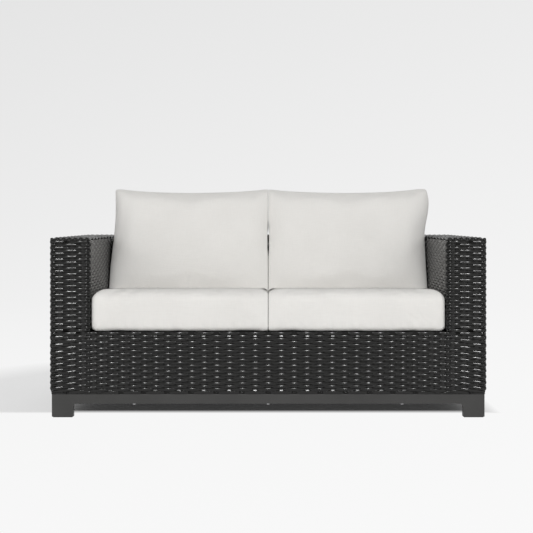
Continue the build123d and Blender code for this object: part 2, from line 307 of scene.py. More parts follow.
class NodeSheet:
    """A new material's node tree, filled a node at a time."""

    def __init__(self, name: str) -> None:
        """Start an empty material of that name."""
        self.material = bpy.data.materials.new(name)
        self.material.use_nodes = True
        self.tree = self.material.node_tree
        self.tree.nodes.clear()
        self.output = self.tree.nodes.new("ShaderNodeOutputMaterial")

    def add(self, kind: str, inputs: dict[str, object] | None = None, **settings: object) -> bpy.types.Node:
        """Add one node.

        Args:
            kind: Type of the node, without its ShaderNode prefix.
            inputs: Values or output sockets for its inputs, by socket name or number.
            settings: The node's own settings.

        Returns:
            The node.
        """
        node = self.tree.nodes.new(f"ShaderNode{kind}")
        for name, value in settings.items():
            setattr(node, name, value)
        for name, value in (inputs or {}).items():
            if isinstance(value, Socket):
                self.tree.links.new(value, node.inputs[name])
            else:
                node.inputs[name].default_value = value
        return node

    def spread(self, scale: Point = (1.0, 1.0, 1.0)) -> Socket:
        """Object coordinates, stretched by a scale."""
        place = self.add("TexCoord").outputs["Object"]
        return self.add("Mapping", {"Vector": place, "Scale": scale}).outputs["Vector"]

    def maths(self, operation: str, *values: object) -> Socket:
        """Result of one Math node."""
        return self.add("Math", dict(enumerate(values)), operation=operation).outputs[0]

    def average(self, one: Socket, other: Socket) -> Socket:
        """Mean of two shares."""
        return self.maths("MULTIPLY", self.maths("ADD", one, other), 0.5)

    def noise(self, vector: Socket, scale: float, detail: float = 2.0) -> Socket:
        """Share from a noise texture."""
        return self.add("TexNoise", {"Vector": vector, "Scale": scale, "Detail": detail}).outputs["Fac"]

    def ranged(
        self, value: Socket, low: float, high: float, start: float = 0.3, end: float = 0.7
    ) -> Socket:
        """A value between a start and an end spread over a range."""
        return self.add("MapRange", {0: value, 1: start, 2: end, 3: low, 4: high}).outputs[0]

    def tinted(self, share: Socket, dark: Point, light: Point) -> Socket:
        """Colour between two, by a share."""
        ramp = self.add("ValToRGB", {"Fac": share})
        stops = ramp.color_ramp.elements
        stops[0].position, stops[0].color = 0.3, (*dark, 1.0)
        stops[1].position, stops[1].color = 0.7, (*light, 1.0)
        return ramp.outputs["Color"]

    def bumped(
        self, height: Socket, depth: float, under: Socket | None = None
    ) -> Socket:
        """Normal from a height of that depth in metres, on top of another normal."""
        inputs: dict[str, object] = {"Height": height, "Distance": depth, "Strength": 1.0}
        if under is not None:
            inputs["Normal"] = under
        return self.add("Bump", inputs).outputs["Normal"]

    def close(self, shader: bpy.types.Node) -> Material:
        """Join the shader to the output and give the material."""
        self.tree.links.new(shader.outputs[0], self.output.inputs["Surface"])
        return self.material

    def principled(self, inputs: dict[str, object]) -> Material:
        """Close the sheet with a Principled shader that has those inputs."""
        return self.close(self.add("BsdfPrincipled", inputs))


@dataclass(frozen=True)
class WickerFinish:
    """Near-black resin strand with a fine lengthwise grain and a soft sheen."""

    name: str = "wicker"
    dark: Point = (0.0048, 0.0048, 0.0046)
    light: Point = (0.0115, 0.0112, 0.0104)
    rough_low: float = 0.19
    rough_high: float = 0.27
    worn_roughness: float = 0.30
    specular_level: float = 0.34
    grain_depth: float = 0.00005
    level_lines: Point = (9.0, 9.0, 700.0)
    length_lines: Point = (700.0, 9.0, 700.0)
    patches: Point = (14.0, 14.0, 95.0)

    def material(self, grain: Grain) -> Material:
        """Build the material.

        Args:
            grain: Which way the strands run.

        Returns:
            The material.
        """
        sheet = NodeSheet(f"{self.name}_{grain.name.lower()}")
        level = grain is Grain.LEVEL
        lines = sheet.noise(sheet.spread(self.level_lines if level else self.length_lines), 1.0, 3.0)
        share = sheet.average(lines, sheet.noise(sheet.spread(self.patches), 1.0))
        wear = 0.0 if level else self.worn_roughness
        return sheet.principled(
            {
                "Base Color": sheet.tinted(share, self.dark, self.light),
                "Roughness": sheet.ranged(lines, self.rough_low + wear, self.rough_high + wear),
                "Specular IOR Level": self.specular_level,
                "Normal": sheet.bumped(lines, self.grain_depth),
            }
        )


@dataclass(frozen=True)
class CoatFinish:
    """Satin powder coat, clouded in tone and roughness, with a fine orange peel."""

    name: str
    dark: Point
    light: Point
    rough: tuple[float, float] = (0.42, 0.54)
    grain_depth: float = 0.00006
    grain_scale: float = 520.0
    cloud_scale: float = 9.0
    cloud_detail: float = 4.0

    def material(self) -> Material:
        """Build the material."""
        sheet = NodeSheet(self.name)
        grain = sheet.noise(sheet.spread(), self.grain_scale)
        clouds = sheet.noise(sheet.spread(), self.cloud_scale, self.cloud_detail)
        return sheet.principled(
            {
                "Base Color": sheet.tinted(clouds, self.dark, self.light),
                "Roughness": sheet.ranged(clouds, *self.rough),
                "Normal": sheet.bumped(grain, self.grain_depth),
            }
        )


@dataclass(frozen=True)
class MetalFinish:
    """Bare metal with drawn lines, for the screws."""

    name: str
    dark: Point
    light: Point
    rough: tuple[float, float]
    stretch: Point
    line_depth: float = 0.00003

    def material(self) -> Material:
        """Build the material."""
        sheet = NodeSheet(self.name)
        lines = sheet.noise(sheet.spread(self.stretch), 1.0, 3.0)
        return sheet.principled(
            {
                "Base Color": sheet.tinted(lines, self.dark, self.light),
                "Metallic": 1.0,
                "Roughness": sheet.ranged(lines, *self.rough),
                "Normal": sheet.bumped(lines, self.line_depth),
            }
        )


@dataclass(frozen=True)
class MouldedFinish(CoatFinish):
    """Moulded plastic, enamel or tape: evenly rough, with a finer grain."""

    grain_scale: float = 1400.0
    cloud_scale: float = 60.0
    cloud_detail: float = 3.0


@dataclass(frozen=True)
class ClothFinish:
    """Off-white outdoor cloth in a plain weave, matte with a little sheen."""

    name: str = "cover_cloth"
    dark: Point = (0.79, 0.775, 0.745)
    light: Point = (0.865, 0.85, 0.82)
    threads_per_metre: float = 900.0
    thread_depth: float = 0.00018
    slub_depth: float = 0.00025
    slubs: tuple[Point, Point] = ((30.0, 420.0, 420.0), (420.0, 30.0, 30.0))
    cloud_scale: float = 5.0
    rough: tuple[float, float] = (0.82, 0.95)

    def material(self) -> Material:
        """Build the material."""
        sheet = NodeSheet(self.name)
        place = sheet.add("SeparateXYZ", {"Vector": sheet.add("TexCoord").outputs["Object"]})
        turns = 2.0 * math.pi * self.threads_per_metre
        waves = [sheet.maths("SINE", sheet.maths("MULTIPLY", axis, turns)) for axis in place.outputs]
        threads = sheet.maths("ADD", sheet.maths("ADD", waves[0], waves[1]), waves[2])
        slubs = sheet.average(*[sheet.noise(sheet.spread(scale), 1.0) for scale in self.slubs])
        share = sheet.average(slubs, sheet.noise(sheet.spread(), self.cloud_scale, 4.0))
        return sheet.principled(
            {
                "Base Color": sheet.tinted(share, self.dark, self.light),
                "Roughness": sheet.ranged(slubs, *self.rough),
                "Specular IOR Level": 0.2,
                "Sheen Weight": 0.12,
                "Sheen Roughness": 0.5,
                "Normal": sheet.bumped(threads, self.thread_depth, sheet.bumped(slubs, self.slub_depth)),
            }
        )


@dataclass(frozen=True)
class StudioFinish:
    """Pale sweep. Near the object it shows the lit floor and the object's shadow, and further off a glowing
    pale tone. Near the object the glow is also painted light: it wipes out the shadow in front and on the
    right, lightens it by half on the left and a little under the object, and its strength slopes as painted
    shading, lighter to the right and darker towards the back and the top.
    """

    name: str = "studio_sweep"
    colour: Point = (0.80, 0.80, 0.80)
    seen_colour: Point = (0.77, 0.77, 0.77)
    even_from: float = 1.0
    even_to: float = 1.7
    # In front of this line the floor glows instead of showing its shade. This is painted light that wipes
    # out the object's shadow in front.
    front_line: float = -0.258
    front_blend: float = 0.075
    # Right of this line the same painted light wipes out the object's shadow on the right.
    right_line: float = 0.79
    right_blend: float = 0.1
    # Share of glow even under the object: painted light that lifts its shadow there a little.
    under_painted_light_share: float = 0.035
    # Left of this line, painted light lightens the object's shadow by the share below.
    left_line: float = -0.80
    left_blend: float = 0.04
    left_painted_light_share: float = 0.50
    tone: float = 0.924
    # Slope of the glow's strength. This is painted shading, lighter to the right and darker towards the back
    # and the top.
    painted_shade_slope: Point = (0.008, -0.0067, -0.0195)

    def material(self) -> Material:
        """Build the material."""
        sheet = NodeSheet(self.name)
        rays = sheet.add("LightPath").outputs
        seen = rays["Is Camera Ray"]
        for ray in ("Is Glossy Ray", "Is Transmission Ray"):
            seen = sheet.maths("MAXIMUM", seen, rays[ray])
        place = sheet.add("TexCoord").outputs["Object"]
        # Painted shading: the glow's strength slopes with place.
        slope = sheet.add("VectorMath", {0: place, 1: self.painted_shade_slope}, operation="DOT_PRODUCT")
        tone = sheet.maths("ADD", slope.outputs["Value"], self.tone)
        reach = sheet.add("VectorMath", {0: place}, operation="LENGTH").outputs["Value"]
        x, y, _ = sheet.add("SeparateXYZ", {"Vector": place}).outputs
        # Share of glow over the lit floor. It is whole far off, and it is painted light near the object
        # wherever the masks below wipe out or lighten its shadow.
        clear = sheet.ranged(reach, self.under_painted_light_share, 1.0, self.even_from, self.even_to)
        for share in (
            sheet.ranged(y, 0.0, 1.0, self.front_line, self.front_line - self.front_blend),
            sheet.ranged(x, 0.0, 1.0, self.right_line, self.right_line + self.right_blend),
            sheet.ranged(x, 0.0, self.left_painted_light_share, self.left_line, self.left_line - self.left_blend),
        ):
            clear = sheet.maths("MAXIMUM", clear, share)
        plain = sheet.add("BsdfDiffuse", {"Color": (*self.colour, 1.0)})
        bright = sheet.add("BsdfDiffuse", {"Color": (*self.seen_colour, 1.0)})
        # The glow is no lamp. Near the object it is painted light over the floor's shade.
        painted_glow = sheet.add("Emission", {"Color": (1.0, 1.0, 1.0, 1.0), "Strength": tone})
        lifted = sheet.add("MixShader", {0: clear, 1: bright.outputs[0], 2: painted_glow.outputs[0]})
        return sheet.close(sheet.add("MixShader", {0: seen, 1: plain.outputs[0], 2: lifted.outputs[0]}))


def dress(obj: Piece, material: Material) -> None:
    """Give an object one material, in place of any it had.

    Args:
        obj: A new piece or a node of the frame.
        material: The finish.
    """
    obj.data.materials.clear()
    obj.data.materials.append(material)


# Woven resin


@dataclass(frozen=True)
class Strand:
    """One flattened strand and the thin stakes that it is woven on."""

    width: float = 0.0106
    overlap: float = 1.20
    thickness: float = 0.0042
    rise: float = 0.0033
    sides: int = 8
    rings: int = 4
    stake_width: float = 0.0205
    stake_share: float = 0.45
    stake_thickness: float = 0.0007


@dataclass(frozen=True)
class BandPath:
    """Run of a band seen along its stakes: straight legs with rounded corners, its face on the left."""

    corners: tuple[tuple[float, float], ...]
    radius: float
    arc_steps: int = 6
    lead: float = 0.0006

    def legs(self) -> list[float]:
        """Length of each straight leg between the unrounded corners."""
        return [math.dist(a, b) for a, b in zip(self.corners, self.corners[1:])]

    def station(self, leg: int, distance: float) -> float:
        """Path length at a distance from the unrounded start of a leg.

        Args:
            leg: Number of the leg, from 0.
            distance: Distance along it, outside the rounded corners.

        Returns:
            Length along the rounded path.
        """
        saved = 2.0 * self.radius - QUARTER * self.radius
        return sum(self.legs()[:leg]) + distance - leg * saved

    def bend(self, corner: int) -> float:
        """Path length at the middle of a rounded corner, counted from 1."""
        turn = self.station(corner, self.radius)
        return turn - math.pi / 4.0 * self.radius

    def line(self) -> list[tuple[float, float]]:
        """Points of the rounded path."""
        spots = [Vector(c) for c in self.corners]
        found = [tuple(spots[0])]
        for before, here, after in zip(spots, spots[1:], spots[2:]):
            back = (before - here).normalized()
            on = (after - here).normalized()
            centre = here + (back + on) * self.radius
            found.append(tuple(here + back * (self.radius + self.lead)))
            for step in range(self.arc_steps + 1):
                angle = QUARTER * step / self.arc_steps
                spoke = -on * math.cos(angle) - back * math.sin(angle)
                found.append(tuple(centre + spoke * self.radius))
            found.append(tuple(here + on * (self.radius + self.lead)))
        found.append(tuple(spots[-1]))
        return found

    def curve(self, name: str) -> Piece:
        """Curve object along the rounded path, for the Curve modifier."""
        line = self.line()
        data = bpy.data.curves.new(name, "CURVE")
        data.dimensions = "2D"
        spline = data.splines.new("POLY")
        spline.points.add(len(line) - 1)
        for point, (x, y) in zip(spline.points, line):
            point.co = (x, y, 0.0, 1.0)
        made = bpy.data.objects.new(name, data)
        bpy.context.scene.collection.objects.link(made)
        return made


@dataclass
class WovenBand:
    """Band of plain weave. Flat, its strands run along X, its stakes along Z, and its face looks to +Y."""

    name: str
    path: BandPath
    stations: list[float]
    top: float
    rows: int
    pitch: float
    over_first: bool
    strand: Strand = field(default_factory=Strand)
    stake_ends: tuple[float, float] = (0.0, 0.0)

    def row_height(self, row: int) -> float:
        """Height of the middle of a row, the first at the top."""
        return self.top - row * self.pitch

    def unit(self) -> Piece:
        """Model two rows over two stake spacings, a spacing being one unit long."""
        strand = self.strand
        piece = added(
            bpy.ops.mesh.primitive_cylinder_add, vertices=strand.sides, radius=0.5, depth=2.0,
            end_fill_type="NOTHING", location=(1.0, 0.0, 0.0), rotation=(0.0, QUARTER, 0.0),
        )
        with editing(piece):
            pick_edges_along(piece, 0)
            bpy.ops.mesh.subdivide(number_cuts=2 * strand.rings - 1)
            bpy.ops.mesh.select_all(action="SELECT")
            bpy.ops.transform.resize(value=(1.0, strand.thickness, strand.width), center_override=ORIGIN)
            bpy.ops.mesh.duplicate()
            bpy.ops.transform.translate(value=(0.0, 0.0, -self.pitch))
            for row in range(2):
                rise = strand.rise if (row == 0) == self.over_first else -strand.rise
                for ring in range(2 * strand.rings + 1):
                    x, z = ring / strand.rings, -row * self.pitch
                    pick_points(piece, lambda p: abs(p.x - x) < TOUCH * 10 and abs(p.z - z) < self.pitch / 2)
                    bpy.ops.transform.translate(value=(0.0, rise * math.cos(math.pi * x), 0.0))
        return piece

    def strands(self) -> Piece:
        """All rows of the band, flat, with closed ends."""
        piece = self.unit()
        spacings = len(self.stations) - 1
        repeat(
            piece, math.ceil(spacings / 2), (2.0, 0.0, 0.0),
            use_merge_vertices=True, merge_threshold=0.001 * self.strand.thickness,
        )
        repeat(piece, math.ceil(self.rows / 2), (0.0, 0.0, -2.0 * self.pitch))
        lowest = -(self.rows - 0.5) * self.pitch
        with editing(piece):
            pick_points(piece, lambda p: p.x > spacings + TOUCH * 10 or p.z < lowest)
            bpy.ops.mesh.delete(type="VERT")
            bpy.ops.mesh.select_all(action="SELECT")
            bpy.ops.mesh.fill_holes(sides=self.strand.sides)
        marks = np.arange(spacings + 1.0)

        def spread(points: Array) -> Array:
            points[:, 0] = np.interp(points[:, 0], marks, self.stations)
            middle = self.pitch * np.rint(points[:, 2] / self.pitch)
            points[:, 2] = self.top + middle + (points[:, 2] - middle) * self.strand.overlap
            return points

        move_points(piece, spread)
        return piece

    def stakes(self) -> Piece:
        """One thin strip on each station, narrower where its neighbours are close."""
        strand = self.strand
        high = self.row_height(0) + strand.width / 2.0 + self.stake_ends[0]
        low = self.row_height(self.rows - 1) - strand.width / 2.0 - self.stake_ends[1]
        piece = added(
            bpy.ops.mesh.primitive_cube_add, size=1.0, location=(0.0, 0.0, (high + low) / 2.0),
            scale=(strand.stake_width, strand.stake_thickness, high - low),
        )
        with editing(piece):
            for axis, cuts in ((0, 3), (2, 9)):
                pick_edges_along(piece, axis)
                bpy.ops.mesh.subdivide(number_cuts=cuts)
        repeat(piece, len(self.stations), (1.0, 0.0, 0.0))
        stations = np.array(self.stations)
        gaps = np.diff(stations)
        nearest = np.minimum(np.append(gaps, gaps[-1]), np.insert(gaps, 0, gaps[0]))
        share = np.minimum(1.0, strand.stake_share * nearest / strand.stake_width)

        def spread(points: Array) -> Array:
            index = np.rint(points[:, 0]).astype(int)
            points[:, 0] = stations[index] + (points[:, 0] - index) * share[index]
            return points

        move_points(piece, spread)
        return piece

    def flat(self) -> Piece:
        """Strands and stakes together, before they are bent round the path."""
        return join(self.name, [self.strands(), self.stakes()])

    def wrap(self, piece: Piece) -> Piece:
        """Bend a flat piece round the path with a Curve modifier and give it back."""
        guide = self.path.curve(f"{self.name}_path")
        apply_modifier(piece, "CURVE", object=guide, deform_axis="POS_X")
        bpy.data.objects.remove(guide)
        return piece


def cut(piece: Piece, place: Point, normal: Point) -> None:
    """Cut a piece by a plane and close the cut; what lies on the normal's side goes.

    Args:
        piece: The object to cut.
        place: A point of the plane.
        normal: The plane's normal, towards the part that goes.
    """
    with editing(piece, whole=True):
        bpy.ops.mesh.bisect(
            plane_co=place, plane_no=normal, use_fill=True, clear_outer=True, clear_inner=False
        )


@dataclass
class WovenBody:
    """The woven skins of the arms, the back, the apron and the seat deck."""

    half_width: float = 0.813
    half_depth: float = 0.432
    height: float = 0.670
    arm_width: float = 0.152
    back_face_y: float = 0.292
    deck_height: float = 0.320
    base_height: float = 0.088
    bedding: float = 0.0013
    skin_middle: float = 0.0046
    corner_radius: float = 0.008
    edge_radius: float = 0.0066
    pitch: float = 0.010977
    top_row: float = 0.6533
    upper_rows: int = 31
    all_rows: int = 52
    leaf_lap: float = 0.005
    first_stake: float = 0.013
    arm_stakes: tuple[float, ...] = (0.013, 0.060, 0.106, 0.1425)
    side_spacings: int = 20
    inner_spacings: int = 16
    apron_spacings: int = 30
    apron_half: float = 0.6705
    apron_bunching: float = 0.015
    back_spacings: int = 30
    top_strands: int = 12
    end_drop: float = 0.0015
    droop: float = 0.020
    droop_front: float = 0.313
    droop_side: float = 0.25
    droop_top: float = 0.33
    droop_fade: float = 0.08
    taper: float = 0.005
    tuck_height: float = 0.020
    tuck_limit: float = 0.0012
    strap: Strand = Strand(0.026, 1.0, 0.003, 0.0017, 6, 4, 0.026, 1.0, 0.0004)
    strap_pitch: float = 0.0272
    strap_rows: int = 26
    strap_spacings: int = 46
    strap_clearance: float = 0.002
    strap_drop: float = 0.0034
    apron_thickness: float = 0.008
    wicker: WickerFinish = field(default_factory=WickerFinish)

    @property
    def inner_x(self) -> float:
        """Half width between the arms."""
        return self.half_width - self.arm_width

    @property
    def middle_y(self) -> float:
        """Depth of the middle of the front and rear skins."""
        return self.half_depth - self.skin_middle

    def apron_stakes(self) -> list[float]:
        """X of the apron's stakes, closer together near the arms."""
        shares = [k / self.apron_spacings for k in range(self.apron_spacings + 1)]
        span = 2.0 * self.apron_half
        return [
            span * (t - self.apron_bunching * math.sin(2.0 * math.pi * t)) - self.apron_half
            for t in shares
        ]

    def side_stakes(self) -> list[float]:
        """Distance of each stake from the front, along the side of an arm."""
        reach = 2.0 * (self.half_depth - self.first_stake)
        return [self.first_stake + reach * k / self.side_spacings for k in range(self.side_spacings + 1)]

    def tuck(self, points: Array) -> Array:
        """Rule that draws the lowest rows in towards the base."""
        share = ease((self.base_height + self.tuck_height - points[:, 2]) / self.tuck_height)
        drawn = np.maximum(points[:, 1] - self.taper * share, -self.tuck_limit)
        points[:, 1] = np.minimum(points[:, 1], drawn)
        return points

    def low_skin(
        self, band: WovenBand, nearness: Rule,
        ends: Sequence[tuple[float, float]],
    ) -> Piece:
        """Rows below the seat: they droop towards an outer front corner and tuck in at the base.

        Args:
            band: The rows.
            nearness: Gives how near a path length is to the corner, 1 at the corner and 0 or less far off.
            ends: Path length of each upright cut, and the sign of the side that goes.

        Returns:
            The bent piece.
        """

        def lower(points: Array) -> Array:
            low = ease((self.droop_top - points[:, 2]) / self.droop_fade)
            points[:, 2] -= self.droop * np.clip(nearness(points[:, 0]), 0.0, 1.0) ** 2 * low
            return self.tuck(points)

        piece = band.flat()
        move_points(piece, lower)
        for end, way in ends:
            cut(piece, (end, 0.0, 0.0), (way, 0.0, 0.0))
        cut(piece, (0.0, 0.0, self.base_height - self.bedding), (0.0, 0.0, -1.0))
        return band.wrap(piece)

    def low_band(self, name: str, path: BandPath, stations: list[float], over_first: bool) -> WovenBand:
        """Band of the rows below the seat."""
        top, rows = self.top_row - self.upper_rows * self.pitch, self.all_rows - self.upper_rows
        return WovenBand(name, path, stations, top, rows, self.pitch, over_first)

    def outer_run(self) -> tuple[tuple[float, float], ...]:
        """Corners of an arm's path from its outer front corner on."""
        far_x = self.skin_middle - self.half_width
        return (far_x, -self.middle_y), (far_x, self.middle_y), (-self.inner_x, self.middle_y)

    def outer_stations(self, path: BandPath, leg: int, start: float) -> list[float]:
        """Stations of an arm's front, side and rear.

        Args:
            path: The arm's path.
            leg: Number of its leg along the front.
            start: Distance from the start of that leg to the outer face.

        Returns:
            The stations, with those of the two outer corners.
        """
        skin = self.skin_middle
        front = [path.station(leg, start - d) for d in reversed(self.arm_stakes)]
        side = [path.station(leg + 1, d - skin) for d in self.side_stakes()]
        rear = [path.station(leg + 2, d - skin) for d in (*self.arm_stakes[:3], self.arm_width)]
        return [*front, path.bend(leg + 1), *side, path.bend(leg + 2), *rear]

    def arm_upper(self) -> Piece:
        """Rows of the left arm above the apron, from the back round the front to the rear."""
        near_x, start_y = -self.inner_x - self.skin_middle, self.back_face_y + self.leaf_lap
        corners = (near_x, start_y), (near_x, -self.middle_y), *self.outer_run()
        path = BandPath(corners, self.corner_radius)
        reach = start_y + self.half_depth - self.first_stake
        inner = [
            path.station(0, reach * k / self.inner_spacings) for k in range(self.inner_spacings + 1)
        ]
        outer = self.outer_stations(path, 1, self.arm_width - self.skin_middle)
        band = WovenBand(
            "arm_upper", path, [*inner, path.bend(1), *outer], self.top_row, self.upper_rows, self.pitch,
            over_first=self.inner_spacings % 2 == 1,
        )
        return band.wrap(band.flat())

    def arm_lower(self) -> Piece:
        """Rows of the left arm beside and below the apron."""
        start_x = self.apron_stakes()[1]
        path = BandPath(((start_x, -self.middle_y), *self.outer_run()), self.corner_radius)
        stations = [0.0, *self.outer_stations(path, 0, start_x + self.half_width)]
        corner = path.bend(1)

        def nearness(x: Array) -> Array:
            return 1.0 - np.abs(x - corner) / np.where(x < corner, self.droop_front, self.droop_side)

        band = self.low_band("arm_lower", path, stations, False)
        return self.low_skin(band, nearness, [(start_x + self.inner_x, -1.0)])

    def top_band(
        self, name: str, run: tuple[float, float], across: tuple[float, float], marks: list[float],
        turned_ends: bool,
    ) -> Piece:
        """Top skin with a tilted strand on each long edge, flat in the frame of a band.

        Args:
            name: Name of the piece.
            run: Where the outer faces of its two ends are, along the strands.
            across: Where the outer faces of its two long sides are.
            marks: Places of the stakes along the strands.
            turned_ends: Whether the strands turn down over the ends.

        Returns:
            The bent piece, whose Y is height and whose Z lies across the strands.
        """
        skin, bend = self.skin_middle, self.edge_radius
        low_z, top_z = self.height - skin - bend - self.end_drop, self.height - skin
        if turned_ends:
            near, far = run[0] + skin, run[1] - skin
            path = BandPath(((near, low_z), (near, top_z), (far, top_z), (far, low_z)), bend)
            ends = path.station(0, self.end_drop), path.station(2, bend)
            stations = [ends[0], *[path.station(1, m - run[0] - skin) for m in marks], ends[1]]
        else:
            path = BandPath(((run[0], top_z), (run[1], top_z)), bend)
            stations = [m - run[0] for m in marks]
        inside = (across[0] + skin + bend, across[1] - skin - bend)
        pitch = (inside[1] - inside[0]) / self.top_strands
        band = WovenBand(
            name, path, stations, inside[1] + pitch / 2.0, self.top_strands + 2, pitch,
            over_first=True, strand=Strand(overlap=1.0), stake_ends=(-pitch, -pitch),
        )
        piece = band.flat()
        drop, out = bend * (1.0 - math.sqrt(0.5)), bend * math.sqrt(0.5)
        reach = 0.5 * pitch + TOUCH * 40
        with editing(piece):
            for edge, sign in ((inside[0], -1.0), (inside[1], 1.0)):
                centre = edge + sign * pitch / 2.0
                pick_points(
                    piece, lambda p: abs(p.z - centre) < reach and (p.z - edge) * sign > -TOUCH * 60
                )
                bpy.ops.transform.translate(value=(0.0, -drop, edge + sign * out - centre))
        return band.wrap(piece)

    def arm_top(self) -> Piece:
        """Top of the left arm, whose strands run from front to rear and turn down at both ends."""
        marks = [d - self.half_depth for d in self.side_stakes()]
        run, across = (-self.half_depth, self.half_depth), (-self.half_width, -self.inner_x)
        return settle(self.top_band("arm_top", run, across, marks, True), LENGTHWISE)

    def back_top(self) -> Piece:
        """Top of the back, whose strands run between the arms."""
        run, across = (-self.inner_x, self.inner_x), (-self.half_depth, -self.back_face_y)
        return settle(self.top_band("back_top", run, across, self.back_stakes(), False), CROSSWISE)

    def back_stakes(self) -> list[float]:
        """X of the stakes of the back."""
        step = 2.0 * self.inner_x / self.back_spacings
        return [step * k - self.inner_x for k in range(self.back_spacings + 1)]

    def back_wall(self, name: str, depth: float, rows: int, facing: int) -> Piece:
        """One upright skin of the back.

        Args:
            name: Name of the piece.
            depth: Y of its middle.
            rows: Number of rows down from the top.
            facing: 1 when it faces the rear, -1 when it faces the seat.

        Returns:
            The woven wall.
        """
        ends = (-facing * self.inner_x, facing * self.inner_x)
        path = BandPath(((ends[0], depth), (ends[1], depth)), self.corner_radius)
        stations = [x + self.inner_x for x in self.back_stakes()]
        band = WovenBand(name, path, stations, self.top_row, rows, self.pitch, over_first=facing == -1)
        piece = band.flat()
        if rows == self.all_rows:
            move_points(piece, self.tuck)
        return band.wrap(piece)

    def apron(self) -> Piece:
        """Woven apron between the arms, under the seat cushions."""
        stakes = self.apron_stakes()
        first = stakes[-1]
        path = BandPath(((first, -self.middle_y), (stakes[0], -self.middle_y)), self.corner_radius)
        stations = [first - x for x in reversed(stakes)]

        def nearness(x: Array) -> Array:
            return 1.0 - (self.half_width - np.abs(first - x)) / self.droop_front

        band = self.low_band("apron_wicker", path, stations, True)
        return self.low_skin(band, nearness, [(first - self.inner_x, -1.0), (first + self.inner_x, 1.0)])

    def deck(self) -> Piece:
        """Flat straps, woven across the seat frame under the cushions."""
        end_x, height = self.inner_x - self.strap_clearance, self.deck_height - self.strap_drop
        stations = [2.0 * end_x * k / self.strap_spacings for k in range(self.strap_spacings + 1)]
        middle = (self.back_face_y - self.half_depth + self.apron_thickness) / 2.0
        top = -middle + (self.strap_rows - 1) * self.strap_pitch / 2.0
        band = WovenBand(
            "deck_straps", BandPath(((-end_x, height), (end_x, height)), 0.0), stations, top,
            self.strap_rows, self.strap_pitch, over_first=True, strand=self.strap,
        )
        return settle(band.wrap(band.flat()), CROSSWISE)

    def mirrored(self, piece: Piece, name: str) -> Piece:
        """Copy of a piece on the other side of the middle, with its own mesh.

        Args:
            piece: The piece of the left side.
            name: Name of the copy.

        Returns:
            The mirrored copy.
        """
        activate(piece)
        bpy.ops.object.duplicate()
        made = bpy.context.active_object
        made.name = name
        made.data.name = name
        settle(made, Matrix.Diagonal((-1.0, 1.0, 1.0, 1.0)))
        with editing(made, whole=True):
            bpy.ops.mesh.normals_make_consistent(inside=False)
        return made

    def finish_piece(self, piece: Piece, node: str) -> None:
        """Smooth and declare one woven piece, which has its material."""
        activate(piece)
        bpy.ops.object.shade_smooth()
        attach(piece, "body")
        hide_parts(node)
        report(piece)

    def build(self) -> None:
        """Weave every skin and put it in place of its node."""
        level = self.wicker.material(Grain.LEVEL)
        lengthwise = self.wicker.material(Grain.FRONT_TO_REAR)
        parts = [self.arm_upper(), self.arm_lower(), self.arm_top()]
        for part, material in zip(parts, (level, level, lengthwise)):
            part.data.materials.append(material)
        left = join("left_arm_wicker", parts)
        self.finish_piece(self.mirrored(left, "right_arm_wicker"), "right_arm_weave")
        self.finish_piece(left, "left_arm_weave")
        rear = self.back_wall("back_rear", self.middle_y, self.all_rows, 1)
        leaf = self.back_wall("back_leaf_wicker", self.back_face_y + self.skin_middle, self.upper_rows, -1)
        back = join("back_wicker", [rear, self.back_top()])
        for piece, node in (
            (back, "back_weave"), (leaf, "back_weave"), (self.apron(), "front_apron_weave"),
            (self.deck(), "seat_deck_weave"),
        ):
            piece.data.materials.append(level)
            self.finish_piece(piece, node)


def report(piece: Piece) -> None:
    """Log a finished piece with its number of triangles."""
    triangles = sum(len(face.vertices) - 2 for face in piece.data.polygons)
    LOG.info("%s: %d triangles", piece.name, triangles)


# Metal base and the hidden frame


@dataclass
class MetalFrame:
    """The powder-coated base, its glides and screws, and the hidden tubes."""

    coat: CoatFinish = CoatFinish("powder_coat", (0.021, 0.0205, 0.0195), (0.0275, 0.027, 0.0257))
    tube: CoatFinish = CoatFinish("tube_coat", (0.020, 0.020, 0.019), (0.034, 0.033, 0.031))
    zinc: MetalFinish = MetalFinish(
        "screw_zinc", (0.50, 0.50, 0.51), (0.62, 0.62, 0.63), (0.28, 0.4), (900.0, 900.0, 900.0)
    )
    plastic: MouldedFinish = MouldedFinish(
        "glide_plastic", (0.016, 0.016, 0.016), (0.026, 0.026, 0.026), (0.5, 0.5), 0.00005
    )

    def build(self) -> None:
        """Dress every carried-over node of the metalwork."""
        coat, tube = self.coat.material(), self.tube.material()
        for name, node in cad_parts.items():
            if name.startswith("base_") and name.endswith("_rail") or name.endswith("_leg"):
                dress(node, coat)
            elif name.endswith(("_tube", "_post")) or "_cross_tube_" in name:
                dress(node, tube)
        dress(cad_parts["base_screws"], self.zinc.material())
        dress(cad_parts["foot_glides"], self.plastic.material())


# Cushions

COVER_CLOTH = {
    "quality": 5,
    "mass": 0.3,
    "tension_stiffness": 15.0,
    "compression_stiffness": 15.0,
    "shear_stiffness": 5.0,
    "bending_stiffness": 0.5,
    "use_pressure": True,
}


